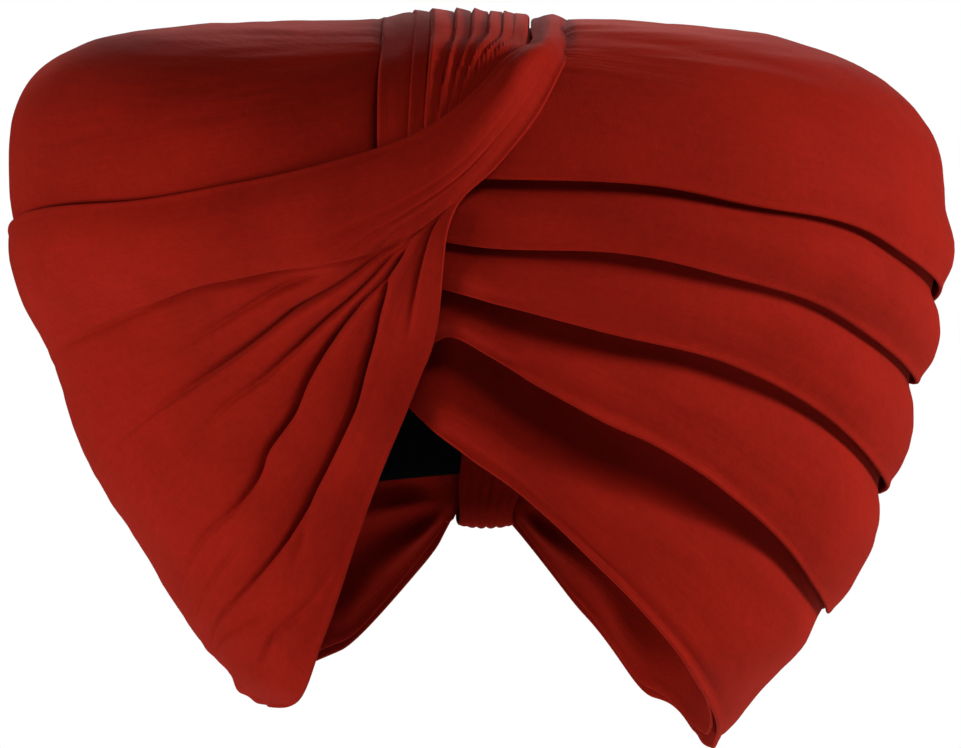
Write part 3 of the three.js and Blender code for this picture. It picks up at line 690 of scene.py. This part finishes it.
def drape_stations(across):
    points, stands = [], []
    for section in strap_sections:
        near, far = on_form(section["near"], section["side"]), on_form(section["far"], section["side"])
        points.append(near + (far - near) * gathered(across)[:, None])
        stands.append(np.full_like(across, section["stand"] * level + pleat_thickness + cloth_gap))
    over_right_wrap = 1.15 * level * (1 - smoothstep(0.16, 0.36, across))
    near_gather = 1 - smoothstep(0.26, 0.34, across)
    stand = {
        "near": 2 * level + near_gather * (pleat_thickness + 1.5 * cloth_gap),
        "mid": (1.2 + smoothstep(0.5, 0.85, across)) * level,
        "far": np.maximum(over_right_wrap, 0.4 * level),
    }
    for name, reach in fan_reach.items():
        angle = np.radians(fan_angle[name](across))
        x = gather_point[0] * half_width - np.cos(angle) * reach * half_width
        height = gather_point[1] * turban_height - np.sin(angle) * reach * half_width
        points.append(outer.face(x, height, -1.0))
        stands.append(stand[name])
    for name, (azimuth, share) in fan_place.items():
        points.append(outer.wall(azimuth(across), share(across) * turban_height))
        stands.append(over_right_wrap)
    return np.stack(points), np.stack(stands)


# Creases of the drape. A place counts the stations from the nape over the crown and on round the side: 0 to 8 are the
# strap's sections, with the gather at 8, and 9, 10 and 11 are the near, mid and far reaches, 12 the side, 13 the rear
# and 14 the end. lip is the side whose fold leans over the crease: 1 for the fold above it, -1 for the fold below it.
# wide is how far the valley opens, in mm, path is (place, share across) and depth is (place, mm).
crease_columns = ("lip", "wide", "path", "depth")
crease_rows = [
    (1, 4, [(4, 0.2), (9, 0.2)], [(6.2, 0), (7, 1.4), (8, 2.2), (8.8, 1.4), (9.4, 0)]),
    (1, 3, [(4, 0.26), (9, 0.25)], [(5.6, 0), (6.8, 1.4), (8, 2.6), (8.8, 1.4), (9.2, 0)]),
    (
        1, 4,
        [(7.3, 1), (7.8, 0.97), (8.02, 0.83), (8.19, 0.685), (8.36, 0.61), (8.47, 0.54), (8.59, 0.46),
         (8.75, 0.355), (8.92, 0.285), (9.17, 0.262), (9.43, 0.265), (10.02, 0.283), (10.46, 0.285), (10.77, 0.295),
         (11, 0.305), (11.31, 0.325), (12.5, 0.33)],
        [(7.6, 0), (8.1, 2.4), (8.6, 3.4), (9.4, 4.6), (10, 4.8), (10.5, 4.4), (11, 3.2), (11.4, 1.6), (12, 0)],
    ),
    (
        -1, 3,
        [(8.9, 0.3), (9.15, 0.29), (9.4, 0.31), (9.65, 0.335), (9.96, 0.36), (10.32, 0.38), (11, 0.4)],
        [(9.1, 0), (9.4, 2), (9.8, 3), (10.2, 2.4), (10.6, 1.2), (11, 0)],
    ),
    (
        -1, 3.4,
        [(8.4, 0.5), (8.59, 0.47), (8.73, 0.44), (8.89, 0.42), (9.31, 0.43), (9.76, 0.45), (10.16, 0.48),
         (10.52, 0.5), (10.89, 0.51), (11.33, 0.52), (12, 0.53)],
        [(8.45, 0), (8.65, 4), (9.2, 5.4), (9.8, 6), (10.2, 5.6), (10.6, 4), (11, 2), (11.5, 0)],
    ),
    (
        -1, 3.4,
        [(8.4, 0.58), (8.56, 0.55), (8.73, 0.51), (8.95, 0.515), (9.29, 0.535), (9.74, 0.565), (10.1, 0.59),
         (10.38, 0.605), (10.77, 0.61), (11.11, 0.63), (12, 0.64)],
        [(8.45, 0), (8.65, 4), (9.2, 5), (9.8, 4.8), (10.2, 3.6), (10.6, 2), (11.1, 0.8), (11.6, 0)],
    ),
    (
        -1, 4,
        [(8.4, 0.66), (8.56, 0.645), (8.7, 0.635), (9.06, 0.6), (9.4, 0.62), (9.76, 0.655), (10.16, 0.695),
         (10.55, 0.72), (10.86, 0.72), (11.11, 0.735), (11.25, 0.735), (11.47, 0.715), (12.5, 0.69)],
        [(8.4, 0), (8.65, 3), (9.1, 5), (9.6, 6.4), (10.2, 7), (10.8, 7), (11.1, 5), (11.4, 2.6), (11.8, 0.8),
         (12.3, 0)],
    ),
    (
        -1, 4,
        [(8.3, 0.56), (8.5, 0.605), (8.75, 0.64), (9.01, 0.72), (9.34, 0.815), (9.88, 0.855), (10.21, 0.87),
         (10.86, 0.867), (11.33, 0.875), (11.73, 0.865), (12.23, 0.835), (13, 0.82)],
        [(8.35, 0), (8.6, 5), (9, 7), (9.6, 7.5), (10.2, 7), (10.8, 8), (11.2, 8), (11.6, 5), (12, 2.6), (12.6, 1),
         (13.2, 0)],
    ),
    (
        -1, 2,
        [(10.8, 0.868), (11.17, 0.888), (11.39, 0.905), (11.7, 0.93)],
        [(10.9, 0), (11.1, 3), (11.3, 2), (11.55, 0)],
    ),
    (
        -1, 3,
        [(8, 0.7), (8.16, 0.76), (8.36, 0.87), (8.53, 0.9), (8.73, 0.915), (9.06, 0.93), (9.4, 0.935)],
        [(8.1, 0), (8.3, 5), (8.6, 5), (8.9, 2), (9.2, 0)],
    ),
    (
        -1, 4,
        [(11.8, 0.92), (12.06, 0.9), (12.6, 0.85), (13, 0.83)],
        [(11.85, 0), (12.15, 1.6), (12.5, 1.4), (12.9, 0)],
    ),
    (-1, 7, [(11.3, 0.8), (11.87, 0.77), (12.3, 0.76)], [(11.3, 0), (11.6, 1.4), (12.3, 0)]),
    (
        -1, 6,
        [(11.4, 0.985), (11.64, 0.975), (11.92, 0.96), (12.29, 0.94), (14, 0.93)],
        [(11.4, 0), (11.9, 2), (12.3, 2.8), (12.6, 1.2), (13.4, 0)],
    ),
]
creases = [dict(zip(crease_columns, row)) for row in crease_rows]
steep_side = 1.05  # width of a crease's wall beneath its lip, in mm
valley_core = 1.6  # width of its deepest part
core_share = 0.62  # of its depth
lip_lean = 0.2  # how far the lip leans over it, as a share of its depth
# How far the strap settles beside the pleats, in mm, by place: its near edge and its far edge
strap_settles = {
    "near": [(0, 0), (1.4, 0.4), (2.6, 2.4), (4.2, 2.8), (4.6, 4), (5, 4.4), (5.6, 2), (6, 0.5), (7, 0), (9, 0)],
    "far": [
        (0, 3.2), (1, 4.4), (1.6, 4.4), (2, 3.6), (2.6, 3.2), (4.2, 3.4), (4.45, 4.7), (4.75, 6.6), (4.95, 6.7),
        (5.2, 5.9), (6, 6), (7, 3.4), (8, 1), (8.6, 0), (9, 0),
    ],
}
# Distance from row to row along the drape, in mm, for each stretch between its stations
drape_steps = [8] * 4 + [5, 4, 2.6, 1.15, 1.15, 1.8, 2.8, 3.8, 5, 6]
free_edge_lift = 2.6
fold_puff = 1.6
full_width = 80  # of the drape, where its creases reach their full depth


def front_drape():
    across = np.concatenate([np.linspace(0, 0.24, 30)[:-1], np.linspace(0.24, 1, 211)])
    stations, stands = drape_stations(across)
    places = steps_along(stations, drape_steps)
    base = outer.snap(spline(stations, places))
    normals = outer.normal(base)
    stand = between(stands, places)
    place, t = np.meshgrid(places, across, indexing="ij")
    along = lengths(base, 0)[:, None]
    gaps = np.linalg.norm(np.diff(base, axis=1), axis=-1)
    wide = np.concatenate([np.zeros((len(places), 1)), np.cumsum(gaps, 1)], 1)
    sideways = unit(np.gradient(base, axis=1))
    from_edge = np.minimum(wide, wide[:, -1:] - wide)
    relief = np.zeros_like(place)
    lean = np.zeros_like(place)
    for k, row in enumerate(creases):
        wander = 0.003 * ripple(places * 2.4, k * 7, 70) * smoothstep(9.2, 10.5, places)
        path = np.clip(curve_through(*zip(*row["path"]))(places) + wander, 0, 1)
        depth = np.interp(places, *zip(*row["depth"]))[:, None]
        centre = np.stack([np.interp(path[i], across, wide[i]) for i in range(len(places))])[:, None]
        s = (wide - centre) * row["lip"]
        open_out = np.clip(wide[:, -1:] / full_width, 0.25, 1)
        depth = depth * open_out
        steep, core, room = [value * open_out for value in (steep_side, valley_core, row["wide"] * 1.6)]
        valley = core_share * bump(s, 0, core) + (1 - core_share) * bump(s, 0, room)
        relief -= depth * np.where(s < 0, bump(s, 0, steep), valley)
        lean += row["lip"] * lip_lean * depth * bump(s / steep, -1.3, 1.1)
    on_strap = 1 - smoothstep(7.5, 9.2, place)
    on_top = smoothstep(1.5, 2.6, place) * (1 - smoothstep(4.6, 6, place))
    relief += on_strap * (1.4 - 0.6 * on_top) * np.sin(np.pi * np.clip(gathered(t), 0, 1)) ** 0.7
    first_fold = np.clip(t / fan_folds[1]["across"], 0, 1)
    relief += (1 - on_strap) * fold_puff * np.sin(np.pi * first_fold) ** 0.8 * (1 - smoothstep(11.5, 13, place))
    last_fold = np.clip((t - 0.85) / 0.15, 0, 1)
    relief += smoothstep(8.5, 10, place) * fold_puff * np.sin(np.pi * last_fold) * (1 - smoothstep(12.5, 14, place))
    relief += 0.4 * ripple(along / 52, wide / 13, 71) * smoothstep(8, 10, place)
    relief += 0.12 * ripple(along / 26, wide / 4, 72)
    relief += 1.1 * ripple(along / 24, wide / 15, 73) * smoothstep(11.2, 13.5, place) * smoothstep(0.45, 0.75, t)
    relief *= smoothstep(0, 3, from_edge)
    relief += free_edge_lift * smoothstep(0.88, 1, t) * smoothstep(8, 8.7, place) * (1 - smoothstep(10, 11, place))
    near, far = [np.interp(places, *zip(*strap_settles[side]))[:, None] for side in ("near", "far")]
    relief -= near + (far - near) * smoothstep(0.3, 0.95, gathered(t))
    surface = base + sideways * (lean * smoothstep(0, 4, from_edge))[..., None]
    out, under = off_form(surface, normals, stand + relief, pressed(from_edge))
    return cloth("front_drape_cloth", out, under, red, ["front_drape"])


front_drape()

# Pleats over the crown: creases across the band, and how high each pleat stands on the next
pleats = [
    (0, 0.21, 1.5), (0.21, 0.33, 2.0), (0.33, 0.5, 2.6), (0.5, 0.62, 2.6), (0.62, 0.74, 2.4), (0.74, 0.84, 2.0),
    (0.84, 0.92, 1.4), (0.92, 1, 0.8),
]
fixed_pleats = 0.34  # those before this share run straight down the brow; the others crowd together towards it
crowding = 0.42
pleat_step = 3.6  # from row to row
fold_back = 0.004  # share of the band in which a pleat drops to the next


def crown_pleats():
    across = np.unique(np.concatenate([np.linspace(start, end, 15) for start, end, _ in pleats] + [
        np.array([end - fold_back for _, end, _ in pleats[:-1]])
    ]))
    points, stands = [], []
    for section in pleat_sections:
        left, right = on_form(section["left"], section["side"]), on_form(section["right"], section["side"])
        points.append(left + (right - left) * across[:, None])
        stands.append(np.full_like(across, section["stand"] * level))
    stations, stands = np.stack(points), np.stack(stands)
    places = steps_along(stations, [pleat_step] * (len(stations) - 1))
    base = outer.snap(spline(stations, places))
    normals = outer.normal(base)
    place, t = np.meshgrid(places, across, indexing="ij")
    along = lengths(base, 0)[:, None]
    wide = t * 50
    relief = np.zeros_like(place)
    squeeze = 1 - crowding * (1 - smoothstep(0.2, 2, place))
    pleated = np.where(t < fixed_pleats, t, fixed_pleats + (t - fixed_pleats) / squeeze)
    for start, end, height in pleats:
        s = np.clip((pleated - start) / (end - start), 0, 1)
        lift = height * (0.35 + 0.65 * (1 - s)) * smoothstep(0, 0.12, s) * (1 - smoothstep(0.93, 1, s))
        lift = lift * (1 + 0.25 * ripple(along / 40, start * 30, 81))
        relief += np.where((pleated >= start) & (pleated < end), lift, 0)
    flat = smoothstep(-0.2, 1.2, place) * (1 - smoothstep(5.2, 7, place))
    over_wraps = between(stands, places)
    before_back = 1 - smoothstep(3.6, 4.6, place)
    settle = (over_wraps - cloth_thickness + 1.4) * (1 - smoothstep(0, 0.2, t))
    settle = settle * smoothstep(1, 1.9, place) * before_back
    settle = settle + 1.2 * smoothstep(0.9, 1.8, place) * before_back * smoothstep(0, 0.2, t)
    relief = relief * (1.45 - 0.65 * smoothstep(1, 1.9, place) * before_back)
    relief = relief * flat * smoothstep(0, 0.3, t) * (1 - smoothstep(0.84, 0.98, t)) - settle
    relief = relief + 0.35 * ripple(along / 40, wide / 7, 82) + 0.14 * ripple(along / 14, wide / 2.5, 83)
    out, under = off_form(base, normals, over_wraps + relief, np.full_like(place, pleat_thickness))
    return cloth("crown_pleats_cloth", out, under, red, ["crown_pleats"])


crown_pleats()

# The innermost wrap: folds that run to the knot, as (slope in degrees, width, height in mm)
band_folds = [
    (-58, 6, 1.6), (-40, 5, -2), (-27, 5, 1.8), (-14, 5, -2.2), (2, 6, 1.8), (17, 5, -2), (32, 7, 1.4), (52, 6, -1.6),
]
highest_fold = 1.2
nape_arc = 1.7  # mm along the wrap for a degree, at the nape

fan_tip = fan_folds[-1]["end"][0]
side_stations, _ = drape_stations(np.array([1.0]))
first_fan_place = len(strap_sections)
side_points = outer.snap(spline(side_stations, np.linspace(first_fan_place, first_fan_place + 5, 60)))[:, 0]
side_azimuths = np.degrees(np.arctan2(side_points[:, 0], -side_points[:, 1]))[::-1]
fan_side_rim = curve_through(side_azimuths, side_points[::-1, 2])
fan_side_top = side_azimuths[-1]


def rim_at(azimuth):
    """Height of the turban's lower rim, which the under wrap stays above."""
    left, fan_side = left_edges[0](azimuth), fan_side_rim(azimuth)
    both = np.where(azimuth < fan_side_top, np.minimum(left, fan_side), left)
    return np.select([azimuth < fan_tip, azimuth < left_stations[0]], [right_rim(azimuth), fan_side], both)


def under_wrap():
    start, end = under_wrap_ends
    azimuths = np.concatenate([np.linspace(start, 160, 180), np.linspace(160, end, 220)[1:]])
    shares = np.linspace(0, 1, 34)
    azimuth, share = np.meshgrid(azimuths, shares, indexing="ij")
    turned = np.where(azimuth > 180, azimuth - 360, azimuth)
    low = rim_at(turned) + under_wrap_inset
    low += smoothstep(182.5, 185.8, azimuth) * np.minimum(0, knot_bottom + rim_beside_knot - low) * (azimuth < 200)
    high = np.maximum(cap_lower_edge(np.abs(turned)), low) + under_wrap_lap
    height = low + share * (high - low)
    level_out = np.stack([np.sin(np.radians(azimuth)), -np.cos(np.radians(azimuth)), np.zeros_like(azimuth)], -1)

    def distance(form):
        p = form.wall(azimuth, height)
        return np.hypot(p[..., 0], p[..., 1])

    beside_cap = distance(head) + cap_thickness + level + cloth_gap / 2
    under_outer = distance(outer) - under_wrap_clearance
    reach = np.minimum(under_outer, under_outer + smoothstep(0, 1, share) * (beside_cap - under_outer))
    beside, above = (azimuth - 180) * nape_arc, height - knot_middle
    away = np.hypot(beside, above)
    turn = np.degrees(np.arctan2(above, np.abs(beside))) + 5 * ripple(away / 40, 0, 91)
    folds = np.zeros_like(away)
    for middle, wide, depth in band_folds:
        folds += depth * bump(turn, middle, wide)
    folds = folds * smoothstep(12, 26, away) * (1 - smoothstep(70, 120, away))
    folds = folds + 0.5 * ripple(azimuth / 9, share * 5, 93)
    folds = folds * smoothstep(0, 0.2, share) * (1 - smoothstep(0.7, 0.9, share))
    reach = reach - 1.4 * smoothstep(0, 0.2, share) * (1 - smoothstep(0.75, 0.95, share))
    reach = reach + np.minimum(folds, highest_fold)
    axis = np.stack([np.zeros_like(height), np.zeros_like(height), height], -1)
    out = axis + level_out * reach[..., None]
    under = axis + level_out * (reach - pressed((height - low)))[..., None]
    return cloth("under_wrap_cloth", out, under, red, ["under_wrap"])


under_wrap()

# Nape knot: from inside the rim round its lower edge and up outside
knot_columns, knot_rows = 64, 90
knot_edge_turn = 4.5  # how far the outer leg's sides curve in
knot_turn_height = 5  # above its bottom, where each leg starts to turn


def nape_knot():
    inside_stand = cloth_gap + cloth_thickness / 2
    q = np.linspace(-1, 1, knot_columns)

    def inside(height, half):
        lean = knot_lean * (height - knot_bottom) / (knot_inner_top - knot_bottom)
        return head.face(knot_centre + lean + q * (half - lean), height, 1.0) - [0, inside_stand, 0]

    def outside(height, half):
        stand = np.interp(height, *zip(*knot_stands)) - knot_edge_turn * np.abs(q) ** 3
        away = np.stack([np.zeros_like(q), stand, np.zeros_like(q)], -1)
        return outer.face(knot_centre + q * half, height, 1.0) + away

    def at_height(p, height):
        return np.concatenate([p[..., :2], np.full_like(p[..., :1], height)], -1)

    low, high = [leg(knot_bottom + knot_turn_height, knot_bottom_half_width) for leg in (inside, outside)]
    bottom = at_height((low + high) / 2, knot_bottom)
    stations = np.stack([
        inside(knot_inner_top, knot_inner_half_width),
        inside((knot_inner_top + knot_bottom) / 2, (knot_inner_half_width + knot_bottom_half_width) / 2),
        low,
        at_height(low + (bottom - low) * 0.25, knot_bottom + 0.8),
        bottom,
        at_height(high + (bottom - high) * 0.25, knot_bottom + 0.8),
        high,
        outside((knot_outer_top + knot_bottom) / 2, (knot_outer_half_width + knot_bottom_half_width) / 2),
        outside(knot_outer_top, knot_outer_half_width),
    ])
    places = np.linspace(0, len(stations) - 1, knot_rows)
    line = spline(stations, places)
    way = unit(np.gradient(line, axis=0))
    normal = unit(np.stack([np.zeros_like(way[..., 0]), -way[..., 2], way[..., 1]], -1))
    place, t = np.meshgrid(places, q, indexing="ij")
    gathers = 0.8 * np.abs(np.sin(t * 8.5 + 0.5 * ripple(place / 1.5, t * 2, 95))) ** 0.7 - 0.4
    half = (cloth_thickness / 2) * np.sqrt(np.clip(1.04 - t * t, 0.08, 1))
    under = line + normal * half[..., None]
    out = line - normal * (half + gathers * (1 - t * t))[..., None]
    out, under = out, under - normal * (0.7 * gathers * (1 - t * t))[..., None]
    return cloth("nape_knot_cloth", out, under, red, ["nape_knot"])


nape_knot()

# Floor, light and camera


def plain(name, colour):
    material = bpy.data.materials.new(name)
    material.use_nodes = True
    shader = material.node_tree.nodes["Principled BSDF"]
    shader.inputs["Base Color"].default_value = (*colour, 1)
    shader.inputs["Roughness"].default_value = 0.9
    return material


floor_radius, floor_sides, floor_height = 2.2, 128, -0.8
floor_mesh = bpy.data.meshes.new("floor")
turns = [k * math.pi / (floor_sides / 2) for k in range(floor_sides)]
rim = [(floor_radius * math.cos(turn), floor_radius * math.sin(turn), 0) for turn in turns]
floor_mesh.from_pydata(rim, [], [list(range(floor_sides))])
floor_mesh.materials.append(plain("pale_floor", (0.95, 0.95, 0.95)))
floor = bpy.data.objects.new("floor", floor_mesh)
floor.location.z = floor_height
bpy.context.collection.objects.link(floor)

world = bpy.data.worlds.new("studio")
bpy.context.scene.world = world
bpy.context.scene.view_settings.view_transform = "Standard"
world.use_nodes = True
sky = world.node_tree
seen = sky.nodes.new("ShaderNodeLightPath")
backdrop = sky.nodes.new("ShaderNodeBackground")
backdrop.inputs["Color"].default_value = (1, 1, 1, 1)
either = sky.nodes.new("ShaderNodeMixShader")
room_light = sky.nodes["Background"]
room_light.inputs["Color"].default_value = (1, 1, 1, 1)
room_light.inputs["Strength"].default_value = 0.13
sky.links.new(seen.outputs["Is Camera Ray"], either.inputs["Fac"])
sky.links.new(room_light.outputs["Background"], either.inputs[1])
sky.links.new(backdrop.outputs["Background"], either.inputs[2])
sky.links.new(either.outputs["Shader"], sky.nodes["World Output"].inputs["Surface"])

view_middle = 116.36  # height in the middle of the picture
target = np.array([0, 0, view_middle - head_seat_height]) / 1000


def look(thing, place, at):
    thing.location = place
    thing.rotation_euler = (Vector(at) - Vector(place)).to_track_quat("-Z", "Y").to_euler()


def softbox(name, place, size, power):
    light = bpy.data.lights.new(name, "AREA")
    light.shape, light.size, light.size_y, light.energy = "RECTANGLE", size[0], size[1], power
    lamp = bpy.data.objects.new(name, light)
    bpy.context.collection.objects.link(lamp)
    lamp.visible_camera = False
    look(lamp, place, tuple(target))


softbox("right_softbox", (1.55, -0.25, 0.3), (0.35, 0.45), 33)
softbox("left_softbox", (-0.9, -0.42, -0.36), (0.35, 0.45), 9.6)
softbox("front_fill", (0.35, -1.35, 0.95), (0.5, 0.4), 7.5)
softbox("back_light", (0, 1.4, 0.5), (0.8, 0.5), 8)

camera_distance = 1.6
camera_tilt = math.radians(4)
picture_width = 961
pixel = 0.000318  # metres at the camera's distance
camera = bpy.data.objects.new("camera", bpy.data.cameras.new("camera"))
bpy.context.collection.objects.link(camera)
camera.data.sensor_width = 36
camera.data.lens = camera.data.sensor_width * camera_distance / (picture_width * pixel)
camera.data.clip_end = 200
look(
    camera,
    (0, -camera_distance * math.cos(camera_tilt), target[2] + camera_distance * math.sin(camera_tilt)),
    tuple(target),
)
bpy.context.scene.camera = camera
